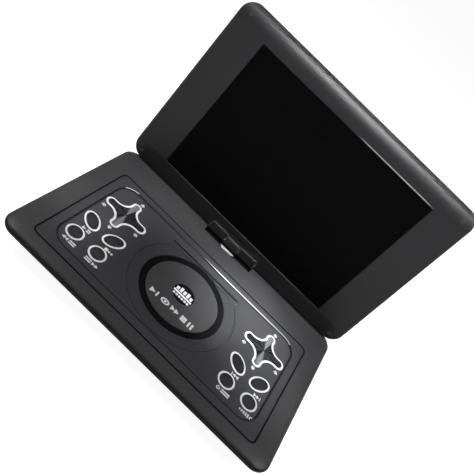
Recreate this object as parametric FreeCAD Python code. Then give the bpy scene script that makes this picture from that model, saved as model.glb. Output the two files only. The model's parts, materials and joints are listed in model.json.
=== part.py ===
import FreeCAD, Part
import os
from math import cos, pi, radians, sin, sqrt

# Portable disc player with a screen that tilts and swivels.  Millimetres.
# The base is drawn with y measured from the tilt axis (minus is towards the user) and z from the table.
# The screen is drawn upright about the tilt axis: x right, y towards its back, z up its own height.

# ---- sizes that drive the rest ----
TILT_AXIS_Y = 92.295      # where the tilt axis stands in the part's frame, so that the origin is central
TILT_AXIS_Z = 36.5
LEAN_DEG = 10.3           # how far the open screen leans back past upright

HALF_WIDTH = 182.0        # base and screen share one outline
BASE_FRONT = -234.0
BASE_BACK = 7.5
DECK_Z = 31.0             # top of the base
SEAM_Z = 22.0             # top shell above, bottom case below
CASE_Z = 2.5              # underside of the bottom case, above the feet
WALL = 2.2

PANEL_HALF_WIDTH = 153.8
PANEL_FRONT = -215.8
PANEL_BACK = -49.1
PANEL_UNDER_Z = 28.2
PLATE_HALF_WIDTH = 143.5  # the sunk plate inside the control panel
PLATE_FRONT = -204.3
PLATE_BACK = -58.7
PLATE_CORNER = 22.0
PLATE_Z = 30.0

DISC_Y = -130.8           # centre of the disc well
DOOR_RADIUS = 69.8
DOOR_HALF_EAR = 52.7
DOOR_HINGE_Y = -75.2
DOOR_HINGE_Z = 28.2
DOOR_BARREL = 1.8
DOOR_GAP = 0.5
GROOVE_OUTER = 55.2
GROOVE_INNER = 46.4
GROOVE_Z = 27.6
WELL_RADIUS = 64.0
WELL_FLOOR_Z = 21.0
DISC_Z = 24.0             # underside of a loaded disc

PAD_X = 111.3
PAD_Y = -102.3
PAD_REACH = 30.0          # centre to the tip of a side lobe, over the white ring
PAD_DEPTH = 29.3          # centre to the tip of the back and front lobes
VALLEY_CENTRE = (19.6, 20.8)
VALLEY_RADIUS = 13.4      # hollow between two lobes
PAD_RING = 2.6            # width of the white ring
PIVOT_Z = 26.4
PIVOT_RADIUS = 0.8
KEY_INNER_X = 94.8
KEY_OUTER_X = 127.5
OVAL_Y = -147.6
ROUND_Y = -178.0
OVAL_LONG = 14.5          # half axes over the ring
OVAL_SHORT = 9.6
ROUND_RADIUS = 10.9
KEY_RING = 2.2
KEY_GAP = 0.4

BAY_X = 174.0             # outer face of the socket bay on the right side
SOCKET_Z = 13.5
HEADPHONE_Y = -186.0
AV_Y = -168.0
VOLUME_Y = -145.0
USB_Y = -119.0
CARD_Y = -91.0
DC_Y = -66.0
SWITCH_Y = -49.0

SCREEN_BOTTOM = -5.5
SCREEN_TOP = 234.5
SCREEN_FRONT = -3.7       # flat front of the bezel, in front of the tilt axis
SCREEN_SEAM = 4.3
SCREEN_REAR = 14.3
SWIVEL_Y = 5.3            # the swivel axis runs through the middle of the screen's thickness
LCD_HALF_WIDTH = 134.8
LCD_BOTTOM = 17.1
LCD_TOP = 205.6
NOTCH_HALF_WIDTH = 40.0
NOTCH_TOP = 7.4
BLOCK_HALF_WIDTH = 39.7
KNUCKLE_HALF_WIDTH = 12.0
KNUCKLE_RADIUS = 5.1
THRUST_GAP = 0.15         # between the knuckle's end faces and the block's
SHAFT_RADIUS = 2.0
POST_RADIUS = 2.5
RUNNING = 0.05            # radial clearance of shafts and pins that turn
CRADLE_Z = 23.3           # floor of the hollow that the hinge block turns in
CRADLE_FRONT = -16.8


# ---- drawing helpers ----
def vec(x, y, z):
    return FreeCAD.Vector(x, y, z)


def box(x0, x1, y0, y1, z0, z1):
    return Part.makeBox(x1 - x0, y1 - y0, z1 - z0, vec(x0, y0, z0))


def post(x, y, z0, z1, radius):
    return Part.makeCylinder(radius, z1 - z0, vec(x, y, z0))


def rod_x(x0, x1, y, z, radius):
    return Part.makeCylinder(radius, x1 - x0, vec(x0, y, z), vec(1, 0, 0))


def rod_y(x, y0, y1, z, radius):
    return Part.makeCylinder(radius, y1 - y0, vec(x, y0, z), vec(0, 1, 0))


def join(shapes):
    first = shapes[0]
    if len(shapes) == 1:
        return first
    return first.fuse(shapes[1:]).removeSplitter()


def cut(shape, tools):
    return shape.cut(Part.makeCompound(tools))


def mirrored(shape):
    return shape.mirror(vec(0, 0, 0), vec(1, 0, 0))


def rounded_rect(x0, x1, y0, y1, radius, z):
    """Closed outline with four round corners, lying at height z."""
    corners = (
        (x1 - radius, y1 - radius, 0),
        (x0 + radius, y1 - radius, 90),
        (x0 + radius, y0 + radius, 180),
        (x1 - radius, y0 + radius, 270),
    )
    arcs = []
    for cx, cy, start in corners:
        points = []
        for turn in (0, 45, 90):
            angle = radians(start + turn)
            points.append(vec(cx + radius * cos(angle), cy + radius * sin(angle), z))
        arcs.append(Part.Arc(points[0], points[1], points[2]))
    edges = []
    for index, arc in enumerate(arcs):
        following = arcs[(index + 1) % 4]
        edges.append(arc.toShape())
        edges.append(Part.makeLine(arc.EndPoint, following.StartPoint))
    return Part.Wire(edges)


def slab(wire, height):
    return Part.Face(wire).extrude(vec(0, 0, height))


def rounded_slab(x0, x1, y0, y1, radius, z0, z1):
    return slab(rounded_rect(x0, x1, y0, y1, radius, z0), z1 - z0)


def polygon_x(points, x0, x1):
    """Solid drawn as (y, z) points and drawn out along x."""
    loop = [vec(x0, y, z) for y, z in points]
    loop.append(loop[0])
    return Part.Face(Part.makePolygon(loop)).extrude(vec(x1 - x0, 0, 0))


def turned(points, x, y):
    """Solid turned about a vertical axis from (radius, z) points."""
    loop = [vec(radius, 0, z) for radius, z in points]
    loop.append(loop[0])
    solid = Part.Face(Part.makePolygon(loop)).revolve(vec(0, 0, 0), vec(0, 0, 1), 360)
    solid.translate(vec(x, y, 0))
    return solid


def lofted(sections, front_share, back_share, grow=0.0, lift=0.0):
    """Base-shaped body through rounded outlines given as (z, inset at the sides).

    The insets at the front and back are shares of the inset at the sides.
    """
    wires = []
    for z, inset in sections:
        half = HALF_WIDTH - inset - grow
        front = BASE_FRONT + inset * front_share + grow
        back = BASE_BACK - inset * back_share - grow
        radius = 18.0 - inset * 0.36
        wires.append(rounded_rect(-half, half, front, back, radius, z + lift))
    return Part.makeLoft(wires, True, True)


# ---- base: cases ----
TOP_SECTIONS = (
    (SEAM_Z, 0.6), (23.0, 0.1), (24.4, 0.0), (25.8, 0.5), (27.0, 1.7), (28.0, 3.7),
    (28.8, 6.6), (29.5, 10.4), (30.3, 16.6), (DECK_Z, 25.0),
)
TOP_SHARES = (0.62, 0.88)
BOTTOM_SECTIONS = (
    (CASE_Z, 22.0), (4.0, 18.6), (7.0, 15.0), (12.0, 9.8), (17.0, 4.7), (20.0, 2.2), (SEAM_Z - 0.3, 1.0),
)
BOTTOM_SHARES = (1.0, 1.0)


def cradle_walls():
    """Block in the back of the deck that the hinge's hollow is cut from."""
    return box(-NOTCH_HALF_WIDTH - 2, NOTCH_HALF_WIDTH + 2, CRADLE_FRONT - 4.6, BASE_BACK, SEAM_Z, DECK_Z - 1)


def knuckle():
    """Fixed middle of the tilt hinge, with its foot reaching forward in the hollow."""
    z = TILT_AXIS_Z
    barrel = rod_x(-KNUCKLE_HALF_WIDTH, KNUCKLE_HALF_WIDTH, 0, z, KNUCKLE_RADIUS)
    web = box(
        -KNUCKLE_HALF_WIDTH, KNUCKLE_HALF_WIDTH, -KNUCKLE_RADIUS, KNUCKLE_RADIUS, CRADLE_Z - 1, z
    )
    foot_outline = (
        (-17.6, CRADLE_Z - 1),
        (-17.6, DECK_Z),
        (-13.2, DECK_Z),
        (-9.6, DECK_Z - 5.4),
        (0.0, CRADLE_Z - 1),
    )
    foot = polygon_x(foot_outline, -KNUCKLE_HALF_WIDTH, KNUCKLE_HALF_WIDTH)
    bore = rod_x(-KNUCKLE_HALF_WIDTH - 1, KNUCKLE_HALF_WIDTH + 1, 0, z, SHAFT_RADIUS)
    return join([barrel, web, foot]).cut(bore).cut(mark_body(3.0))


def mark_body(height):
    """Bar with its front corners cut off, let into the foot's front and top."""
    corner = 1.6
    outline = (
        (-9.8, -13.8), (-9.8, -17.6 + corner), (-9.8 + corner, -17.6), (9.8 - corner, -17.6),
        (9.8, -17.6 + corner), (9.8, -13.8), (-9.8, -13.8),
    )
    wire = Part.makePolygon([vec(x, y, DECK_Z - 2.4) for x, y in outline])
    return slab(wire, height)


def base_top_shell():
    outer = lofted(TOP_SECTIONS, *TOP_SHARES)
    inner = lofted(TOP_SECTIONS[::3], *TOP_SHARES, WALL, -WALL)
    shell = outer.cut(inner)
    ledge = rounded_slab(
        -PANEL_HALF_WIDTH - 3, PANEL_HALF_WIDTH + 3, PANEL_FRONT - 3, PANEL_BACK + 3, 9.0, 26.4, DECK_Z - 1
    )
    ledge = ledge.common(outer)
    tub = cradle_walls().common(outer)
    shell = join([shell, ledge, tub])
    seat = rounded_slab(
        -PANEL_HALF_WIDTH - 0.35, PANEL_HALF_WIDTH + 0.35, PANEL_FRONT - 0.35, PANEL_BACK + 0.35,
        6.8, PANEL_UNDER_Z, DECK_Z + 1
    )
    opening = rounded_slab(
        -PANEL_HALF_WIDTH + 2.5, PANEL_HALF_WIDTH - 2.5, PANEL_FRONT + 2.5, PANEL_BACK - 2.5, 4.0, 20, DECK_Z
    )
    cradle = box(-NOTCH_HALF_WIDTH, NOTCH_HALF_WIDTH, CRADLE_FRONT, BASE_BACK + 5, CRADLE_Z, DECK_Z + 5)
    cup = rounded_slab(-12.6, 12.6, CRADLE_FRONT - 2.6, CRADLE_FRONT + 6, 2.4, CRADLE_Z + 1, DECK_Z + 5)
    eased = rounded_slab(
        -PANEL_HALF_WIDTH - 0.8, PANEL_HALF_WIDTH + 0.8, PANEL_FRONT - 0.8, PANEL_BACK + 0.8,
        7.2, DECK_Z - 0.4, DECK_Z + 1
    )
    shell = cut(shell, [seat, eased, opening, cradle, cup])
    return join([shell, knuckle()])


def socket_holes():
    """Openings in the wall of the socket bay, one for each socket or control."""
    x0 = BAY_X - WALL - 1
    x1 = BAY_X + 1
    holes = [
        Part.makeCylinder(3.2, x1 - x0, vec(x0, HEADPHONE_Y, SOCKET_Z), vec(1, 0, 0)),
        Part.makeCylinder(3.2, x1 - x0, vec(x0, AV_Y, SOCKET_Z), vec(1, 0, 0)),
        Part.makeCylinder(4.2, x1 - x0, vec(x0, DC_Y, SOCKET_Z), vec(1, 0, 0)),
        box(x0, x1, VOLUME_Y - 7.9, VOLUME_Y + 7.9, SOCKET_Z - 2.1, SOCKET_Z + 2.1),
        box(x0, x1, USB_Y - 7.2, USB_Y + 7.2, SOCKET_Z - 3.5, SOCKET_Z + 3.5),
        box(x0, x1, CARD_Y - 13.2, CARD_Y + 13.2, SOCKET_Z - 1.9, SOCKET_Z + 1.9),
        box(x0, x1, SWITCH_Y - 5.2, SWITCH_Y + 5.2, SOCKET_Z - 1.8, SOCKET_Z + 1.8),
    ]
    return holes


def foot_places():
    return ((-140, -196), (140, -196), (-140, -32), (140, -32))


def screw_places():
    return ((-150, -150), (150, -150), (-60, -206), (60, -206), (-60, -24), (60, -24))


def base_bottom_case():
    """Lower case with a recess along its right side whose upright wall carries the sockets."""
    bay_front = -198.0
    bay_back = -38.0
    bay_floor = 5.0
    outer = lofted(BOTTOM_SECTIONS, *BOTTOM_SHARES)
    outer = join([outer, rounded_slab(120, BAY_X, bay_front, bay_back, 3.0, bay_floor, SEAM_Z - 1)])
    inner = lofted(BOTTOM_SECTIONS[::3], *BOTTOM_SHARES, WALL, WALL)
    inner = inner.cut(box(BAY_X - WALL, 200, bay_front - WALL, bay_back + WALL, 0, 40))
    bay_inner = box(
        115, BAY_X - WALL, bay_front + WALL, bay_back - WALL, bay_floor + WALL, SEAM_Z - 1
    )
    recess = box(BAY_X, 200, bay_front, bay_back, 0, SOCKET_Z + 6.2)
    case = cut(outer, [inner, bay_inner, recess])
    tools = socket_holes()
    for x, y in foot_places():
        tools.append(post(x, y, CASE_Z - 1, CASE_Z + 0.7, 7.2))
    for x, y in screw_places():
        tools.append(post(x, y, CASE_Z - 1, CASE_Z + 1.2, 2.7))
    for side in (-1, 1):
        for row in range(7):
            y = -78 + row * 4.0
            x = side * 118
            tools.append(box(x - 11, x + 11, y - 0.8, y + 0.8, CASE_Z - 1, CASE_Z + WALL + 1))
    return cut(case, tools)


def rubber_feet():
    feet = []
    for x, y in foot_places():
        foot = post(x, y, 0, CASE_Z + 0.7, 7.0)
        rim = [edge for edge in foot.Edges if edge.BoundBox.ZMax < 0.1]
        feet.append(foot.makeFillet(0.8, rim))
    return Part.makeCompound(feet)


def case_screws():
    """Cross-head screws, heads just under the surface of the bottom case."""
    screws = []
    for x, y in screw_places():
        head = post(x, y, CASE_Z + 0.1, CASE_Z + 1.2, 2.5)
        slot_a = box(x - 1.5, x + 1.5, y - 0.3, y + 0.3, CASE_Z, CASE_Z + 0.7)
        slot_b = box(x - 0.3, x + 0.3, y - 1.5, y + 1.5, CASE_Z, CASE_Z + 0.7)
        screws.append(cut(head, [slot_a, slot_b]))
    return Part.makeCompound(screws)


# ---- base: control panel ----
def plate_recess():
    """The sunk plate: sloping walls, 1 mm deep."""
    wires = []
    for z, inset in ((PLATE_Z, 1.6), (PLATE_Z + 0.5, 0.7), (DECK_Z + 0.01, 0.0)):
        half = PLATE_HALF_WIDTH - inset
        wires.append(
            rounded_rect(-half, half, PLATE_FRONT + inset, PLATE_BACK - inset, PLATE_CORNER - inset, z)
        )
    return Part.makeLoft(wires, True, False)


def door_outline(gap, back_y, z):
    """D outline of the disc door, grown by gap: round in front, square ears behind."""
    radius = DOOR_RADIUS + gap
    ear = DOOR_HALF_EAR + gap
    shoulder = DISC_Y + sqrt(radius * radius - ear * ear)
    right_back = vec(ear, back_y, z)
    right = vec(ear, shoulder, z)
    front = vec(0, DISC_Y - radius, z)
    left = vec(-ear, shoulder, z)
    left_back = vec(-ear, back_y, z)
    edges = [
        Part.makeLine(right_back, right),
        Part.Arc(right, front, left).toShape(),
        Part.makeLine(left, left_back),
        Part.makeLine(left_back, right_back),
    ]
    return Part.Wire(edges)


def tangent_point(centre, radius, valley):
    """Where a tip circle meets the valley circle beside it."""
    away = sqrt((valley[0] - centre[0]) ** 2 + (valley[1] - centre[1]) ** 2)
    share = radius / away
    return (centre[0] + (valley[0] - centre[0]) * share, centre[1] + (valley[1] - centre[1]) * share)


def tip_radius(reach, along, across):
    """Radius of a lobe's round tip that touches the valley circle."""
    room = reach - along
    return (room ** 2 + across ** 2 - VALLEY_RADIUS ** 2) / (2 * (room + VALLEY_RADIUS))


def star_outline(x, y, inset, z):
    """Four round lobes with a hollow curve between each two, all of tangent arcs."""
    u, v = VALLEY_CENTRE
    side_radius = tip_radius(PAD_REACH, u, v)
    back_radius = tip_radius(PAD_DEPTH, v, u)
    side = (PAD_REACH - side_radius, 0.0)
    back = (0.0, PAD_DEPTH - back_radius)
    side_touch = tangent_point(side, side_radius - inset, (u, v))
    back_touch = tangent_point(back, back_radius - inset, (u, v))
    to_valley = sqrt(u * u + v * v)
    deepest = 1 - (VALLEY_RADIUS + inset) / to_valley
    valley_middle = (u * deepest, v * deepest)
    quarter = (side_touch, valley_middle, back_touch)
    points = []
    for sx, sy, order in ((1, 1, 1), (-1, 1, -1), (-1, -1, 1), (1, -1, -1)):
        points.append([vec(x + sx * px, y + sy * py, z) for px, py in quarter[::order]])
    tips = (
        vec(x, y + PAD_DEPTH - inset, z),
        vec(x - PAD_REACH + inset, y, z),
        vec(x, y - PAD_DEPTH + inset, z),
        vec(x + PAD_REACH - inset, y, z),
    )
    edges = []
    for index, arc in enumerate(points):
        following = points[(index + 1) % 4]
        edges.append(Part.Arc(arc[0], arc[1], arc[2]).toShape())
        edges.append(Part.Arc(arc[2], tips[index], following[0]).toShape())
    return Part.Wire(edges)


def star_slab(x, inset, z0, z1):
    return slab(star_outline(x, PAD_Y, inset, z0), z1 - z0)


def ellipse_slab(x, y, long_axis, short_axis, tilt_deg, z0, z1):
    angle = radians(tilt_deg)
    major = vec(x + long_axis * cos(angle), y + long_axis * sin(angle), z0)
    minor = vec(x - short_axis * sin(angle), y + short_axis * cos(angle), z0)
    edge = Part.Ellipse(major, minor, vec(x, y, z0)).toShape()
    return slab(Part.Wire([edge]), z1 - z0)


def key_places():
    """Name, x, y, tilt in degrees (None for a round key)."""
    places = []
    for side, name in ((-1, "left"), (1, "right")):
        west = KEY_OUTER_X if side < 0 else KEY_INNER_X
        east = KEY_INNER_X if side < 0 else KEY_OUTER_X
        places.append((name + "_oval_key_a", side * west, OVAL_Y, 135))
        places.append((name + "_oval_key_b", side * east, OVAL_Y, 45))
        places.append((name + "_round_key_a", side * west, ROUND_Y, None))
        places.append((name + "_round_key_b", side * east, ROUND_Y, None))
    return places


def key_slab(place, inset, z0, z1):
    name, x, y, tilt = place
    if tilt is None:
        return post(x, y, z0, z1, ROUND_RADIUS - inset)
    return ellipse_slab(x, y, OVAL_LONG - inset, OVAL_SHORT - inset, tilt, z0, z1)


def door_lugs():
    """Ears under the panel that hold the two door pins."""
    lugs = []
    for side in (-1, 1):
        near = side * (DOOR_HALF_EAR + DOOR_GAP)
        far = side * (DOOR_HALF_EAR + 5.0)
        lugs.append(
            box(min(near, far), max(near, far), DOOR_HINGE_Y - 2.4, DOOR_HINGE_Y + 2.4, 25.6, PANEL_UNDER_Z)
        )
    return lugs


def control_panel():
    panel = rounded_slab(
        -PANEL_HALF_WIDTH, PANEL_HALF_WIDTH, PANEL_FRONT, PANEL_BACK, 6.5, PANEL_UNDER_Z, DECK_Z
    )
    rim = [edge for edge in panel.Edges if edge.BoundBox.ZMin > DECK_Z - 0.01]
    panel = panel.makeChamfer(0.5, rim)
    tools = [plate_recess()]
    door_hole = slab(door_outline(DOOR_GAP, DOOR_HINGE_Y + 3.6, 20), 20)
    tools.append(door_hole)
    for side in (-1, 1):
        tools.append(star_slab(side * PAD_X, PAD_RING - KEY_GAP, 20, 40))
        tools.append(star_slab(side * PAD_X, 0.0, PLATE_Z - 0.5, 40))
    for place in key_places():
        tools.append(key_slab(place, KEY_RING - KEY_GAP, 20, 40))
        tools.append(key_slab(place, 0.0, PLATE_Z - 0.5, 40))
    tools.append(trim_seat())
    panel = join([cut(panel, tools)] + door_lugs())
    for pin in door_pin_rods(0.0):
        panel = panel.cut(pin)
    return panel


def corner_arc(side, width, start, sweep, z0, z1):
    """Piece of ring along one back corner of the sunk plate."""
    centre = vec(side * (PLATE_HALF_WIDTH - PLATE_CORNER), PLATE_BACK - PLATE_CORNER, z0)
    ring = post(centre.x, centre.y, z0, z1, PLATE_CORNER + 0.9)
    ring = ring.cut(post(centre.x, centre.y, z0 - 1, z1 + 1, PLATE_CORNER + 0.9 - width))
    wedge = Part.makeCylinder(40, z1 - z0, centre, vec(0, 0, 1), sweep)
    wedge.rotate(centre, vec(0, 0, 1), start)
    return ring.common(wedge)


def trim_path(z0, z1):
    """Line along the back edge of the sunk plate from its middle to the right corner, and a short arc at the left."""
    right = PLATE_HALF_WIDTH - PLATE_CORNER
    back = PLATE_BACK + 0.9
    width = 1.5
    outline = ((-14.0, back), (10.0, back - width), (right, back - width), (right, back), (-14.0, back))
    line = slab(Part.makePolygon([vec(x, y, z0) for x, y in outline]), z1 - z0)
    bend = corner_arc(1, width, 56, 34, z0, z1)
    arc = corner_arc(-1, 1.1, 96, 48, z0, z1)
    return Part.makeCompound([join([line, bend]), arc])


def trim_seat():
    return trim_path(DECK_Z - 0.6, DECK_Z + 1)


def panel_trim():
    return trim_path(DECK_Z - 0.6, DECK_Z + 0.1)


def pad_rings():
    rings = []
    for side in (-1, 1):
        outer = star_slab(side * PAD_X, 0.0, PLATE_Z - 0.5, PLATE_Z + 0.35)
        inner = star_slab(side * PAD_X, PAD_RING, PLATE_Z - 1, PLATE_Z + 1)
        rings.append(outer.cut(inner))
    return Part.makeCompound(rings)


def key_rings():
    rings = []
    for place in key_places():
        outer = key_slab(place, 0.0, PLATE_Z - 0.5, PLATE_Z + 0.35)
        inner = key_slab(place, KEY_RING, PLATE_Z - 1, PLATE_Z + 1)
        rings.append(outer.cut(inner))
    return Part.makeCompound(rings)


def key(place):
    """Domed key cap with a skirt under the panel that keeps it from coming out."""
    inset = KEY_RING + KEY_GAP
    dome_radius = 62.0
    cap = key_slab(place, inset, 27.6, 34.0)
    cap = cap.common(Part.makeSphere(dome_radius, vec(place[1], place[2], 31.8 - dome_radius)))
    crown = key_slab(place, inset + 0.5, 27.8, 34.0)
    crown = crown.common(Part.makeSphere(dome_radius, vec(place[1], place[2], 32.0 - dome_radius)))
    skirt = key_slab(place, KEY_RING - KEY_GAP - 1.0, 27.0, 27.9)
    return join([cap, crown, skirt])


def star_pad(side):
    """Four-way pad: star plate with a shallow dish, and two ears that turn on the pivot."""
    x = side * PAD_X
    plate = star_slab(x, PAD_RING + KEY_GAP, 28.8, 31.1)
    plate = join([plate, star_slab(x, PAD_RING + KEY_GAP + 0.4, 30.0, 31.4)])
    dish = turned(((0, 30.5), (30, 31.4), (30, 33), (0, 33)), x, PAD_Y)
    pad = plate.cut(dish)
    for y in (PAD_Y - 4.3, PAD_Y + 3.1):
        pad = join([pad, box(x - 1.5, x + 1.5, y, y + 1.2, 25.2, 29.0)])
    return pad.cut(rod_y(x, PAD_Y - 5, PAD_Y + 5, PIVOT_Z, PIVOT_RADIUS + RUNNING))


def pad_pivot(side):
    """Cross of two short pins: one turns in the yoke below, the pad turns on the other."""
    x = side * PAD_X
    pieces = [box(x - 1.5, x + 1.5, PAD_Y - 1.5, PAD_Y + 1.5, PIVOT_Z - 1.5, PIVOT_Z + 1.5)]
    for way in (-1, 1):
        pitch_ends = sorted((x + way * 1.2, x + way * 5.4))
        roll_ends = sorted((PAD_Y + way * 1.2, PAD_Y + way * 4.3))
        pieces.append(rod_x(pitch_ends[0], pitch_ends[1], PAD_Y, PIVOT_Z, PIVOT_RADIUS))
        pieces.append(rod_y(x, roll_ends[0], roll_ends[1], PIVOT_Z, PIVOT_RADIUS))
    return join(pieces)


def pad_yoke(x):
    """Two uprights on the key board that hold the pivot's pitch pin."""
    uprights = []
    for near in (x - 5.4, x + 4.2):
        uprights.append(box(near, near + 1.2, PAD_Y - 1.5, PAD_Y + 1.5, 24.0, 27.6))
    return join(uprights).cut(rod_x(x - 7, x + 7, PAD_Y, PIVOT_Z, PIVOT_RADIUS + RUNNING))


# ---- base: disc drive ----
def disc_tray():
    """Well for the disc, with a slot for the pickup and brackets for its rods."""
    rim = 26.3
    profile = (
        (0, WELL_FLOOR_Z - 1.5), (WELL_RADIUS + 2, WELL_FLOOR_Z - 1.5), (WELL_RADIUS + 2, rim - 1.5),
        (77, rim - 1.5), (77, rim), (WELL_RADIUS, rim), (WELL_RADIUS, WELL_FLOOR_Z), (0, WELL_FLOOR_Z),
    )
    tray = turned(profile, 0, DISC_Y)
    tools = [
        box(-90, 90, DOOR_HINGE_Y - 3.0, 0, rim - 4, rim + 4),
        post(0, DISC_Y, 15, 25, 3.6),
        box(-9, 9, DISC_Y - 62, DISC_Y - 15.5, 15, 25),
    ]
    tray = cut(tray, tools)
    brackets = []
    for y in (-14.5, -72.0):
        brackets.append(box(-20, 27, DISC_Y + y - 1.5, DISC_Y + y + 1.5, 13, WELL_FLOOR_Z - 1.5))
    hanger = box(-20, 27, DISC_Y - 73.5, DISC_Y - 62.3, WELL_FLOOR_Z - 1.7, WELL_FLOOR_Z - 0.2)
    tray = join([tray, hanger] + brackets)
    tools = [post(0, DISC_Y, 10, WELL_FLOOR_Z - 1.5, 13.0)]
    for x in (-16, 16):
        tools.append(rod_y(x, DISC_Y - 80, DISC_Y - 10, 17, 1.5))
    tools.append(rod_y(22, DISC_Y - 80, DISC_Y - 10, 16, 1.5 + RUNNING))
    return cut(tray, tools)


def spindle_motor():
    can = post(0, DISC_Y, 11.5, WELL_FLOOR_Z - 1.5, 12.0)
    boss = post(0, DISC_Y, WELL_FLOOR_Z - 1.6, WELL_FLOOR_Z - 0.4, 3.4)
    return join([can, boss]).cut(post(0, DISC_Y, 11, 25, 1.0 + RUNNING))


def turntable():
    """Disc seat, centring hub and the spindle that turns in the motor."""
    flange = post(0, DISC_Y, 22.8, DISC_Z, 13.0)
    hub_body = post(0, DISC_Y, DISC_Z - 0.5, 26.0, 7.4)
    rim = [edge for edge in hub_body.Edges if edge.BoundBox.ZMin > 25.9]
    hub_body = hub_body.makeChamfer(0.5, rim)
    boss = post(0, DISC_Y, 21.2, 23, 3.0)
    spindle = post(0, DISC_Y, 12.0, 21.4, 1.0)
    return join([flange, hub_body, boss, spindle])


def guide_rods():
    rods = []
    for x in (-16, 16):
        rods.append(rod_y(x, DISC_Y - 73.5, DISC_Y - 13.0, 17, 1.5))
    return Part.makeCompound(rods)


def lead_screw():
    """Drive screw with a spiral shown as closed grooves."""
    screw = rod_y(22, DISC_Y - 78, DISC_Y - 13.0, 16, 1.5)
    grooves = []
    for turn in range(12):
        y = DISC_Y - 66 + turn * 4.0
        groove = rod_y(22, y, y + 0.8, 16, 2.5).cut(rod_y(22, y - 1, y + 2, 16, 1.2))
        grooves.append(groove)
    return cut(screw, grooves)


def sled_motor():
    can = rod_y(22, DISC_Y - 84.5, DISC_Y - 74, 16, 6.0)
    return can.cut(rod_y(22, DISC_Y - 79, DISC_Y - 70, 16, 1.5 + RUNNING))


def optical_pickup():
    """Sled that rides on the two rods and is pushed by the lead screw."""
    y0 = DISC_Y - 32
    y1 = DISC_Y - 17
    body = box(-19.5, 25.0, y0, y1, 13.6, 18.9)
    head = box(-8, 8, y0 + 1, y1 - 0.5, 18.5, 21.3)
    sled = join([body, head])
    tools = []
    for x in (-16, 16):
        tools.append(rod_y(x, y0 - 1, y1 + 1, 17, 1.5 + RUNNING))
    tools.append(rod_y(22, y0 - 1, y1 + 1, 16, 1.5 + 2 * RUNNING))
    tools.append(post(0, DISC_Y - 24.5, 19.5, 25, 3.4))
    return cut(sled, tools)


def pickup_lens():
    lens = Part.makeSphere(7.0, vec(0, DISC_Y - 24.5, 15.2))
    barrel = post(0, DISC_Y - 24.5, 19.5, 23, 3.4)
    return barrel.common(lens)


def door_pin_rods(clearance):
    """Two short pins on the door's hinge line."""
    pins = []
    for side in (-1, 1):
        near = side * (DOOR_HALF_EAR - 5.5)
        far = side * (DOOR_HALF_EAR + 5.0)
        pins.append(rod_x(min(near, far), max(near, far), DOOR_HINGE_Y, DOOR_HINGE_Z, 0.9 + clearance))
    return pins


def door_pins():
    return Part.makeCompound(door_pin_rods(0.0))


def disc_door():
    """D-shaped door: sloping outer band, deep ring groove with a finger tab, seat for the dome."""
    leaf = slab(door_outline(0.0, DOOR_HINGE_Y, PLATE_Z - 2.2), 2.2)
    well = post(0, DISC_Y, 26.6, PLATE_Z - 1, GROOVE_OUTER + 1.6)
    barrel = rod_x(-DOOR_HALF_EAR, DOOR_HALF_EAR, DOOR_HINGE_Y, DOOR_HINGE_Z, DOOR_BARREL)
    door = join([leaf, well, barrel])
    slope = turned(
        ((GROOVE_OUTER - 1, PLATE_Z - 1.1), (DOOR_RADIUS - 1.5, PLATE_Z), (DOOR_RADIUS - 1.5, 32),
         (GROOVE_OUTER - 1, 32)), 0, DISC_Y
    )
    slope = slope.common(box(-90, 90, DISC_Y - 90, DOOR_HINGE_Y - 3.4, 20, 40))
    groove = post(0, DISC_Y, GROOVE_Z, 35, GROOVE_OUTER)
    door = cut(door, [slope, groove])
    tab = groove_sector(GROOVE_INNER + 0.8, GROOVE_OUTER + 0.5, -50, -8, 28.8)
    lip = groove_sector(GROOVE_INNER + 0.8, GROOVE_INNER + 4.0, -50, -20, 29.5)
    door = join([door, tab, lip])
    return cut(door, door_pin_rods(RUNNING))


def groove_sector(inner, outer, start_deg, end_deg, top):
    """Part of a ring standing in the door's groove."""
    ring = post(0, DISC_Y, GROOVE_Z - 0.2, top, outer).cut(post(0, DISC_Y, 25, 32, inner))
    wedge = Part.makeCylinder(60, 6, vec(0, DISC_Y, GROOVE_Z - 0.2), vec(0, 0, 1), end_deg - start_deg)
    wedge.rotate(vec(0, DISC_Y, 0), vec(0, 0, 1), start_deg)
    return ring.common(wedge)


def door_dome():
    """Glossy convex cap in the middle of the door."""
    height = 1.7
    sphere_radius = (GROOVE_INNER ** 2 + height ** 2) / (2 * height)
    drum = post(0, DISC_Y, GROOVE_Z, 33, GROOVE_INNER)
    ball = Part.makeSphere(sphere_radius, vec(0, DISC_Y, 31.2 - sphere_radius))
    dome = drum.common(ball)
    rim = [edge for edge in dome.Edges if edge.BoundBox.ZMin > GROOVE_Z + 0.5]
    dome = dome.makeChamfer(0.7, rim)
    return dome.cut(post(0, DISC_Y, 30.7, 34, 14.5))


def door_emblem():
    return post(0, DISC_Y, 30.7, 31.1, 14.3)


# ---- base: inner pieces and sockets ----
def keypad_sheets():
    """Silicone sheets with one dome under each key and each lobe of the pads."""
    sheets = []
    for side in (-1, 1):
        x = side * PAD_X
        sheet = box(x - 34, x + 34, -192, -68, 24.2, 24.8)
        sheet = sheet.cut(post(0, DISC_Y, 20, 30, 79.0))
        domes = [post(px, py, 24.6, 26.0, 3.5) for name, px, py, tilt in key_places() if px * side > 0]
        for dx, dy in ((21, 0), (-21, 0), (0, 21), (0, -21)):
            domes.append(post(x + dx, PAD_Y + dy, 24.6, 26.6, 3.0))
        sheet = join([sheet] + domes)
        sheets.append(sheet.cut(post(x, PAD_Y, 20, 30, 7.0)))
    return Part.makeCompound(sheets)


def key_boards():
    """Boards under the keys, each with the yoke of its pad's pivot."""
    boards = []
    for side in (-1, 1):
        x = side * PAD_X
        board = box(x - 35, x + 35, -193, -67, 22.6, 24.2)
        board = board.cut(post(0, DISC_Y, 20, 30, 79.0))
        boards.append(join([board, pad_yoke(x)]))
    return Part.makeCompound(boards)


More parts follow.
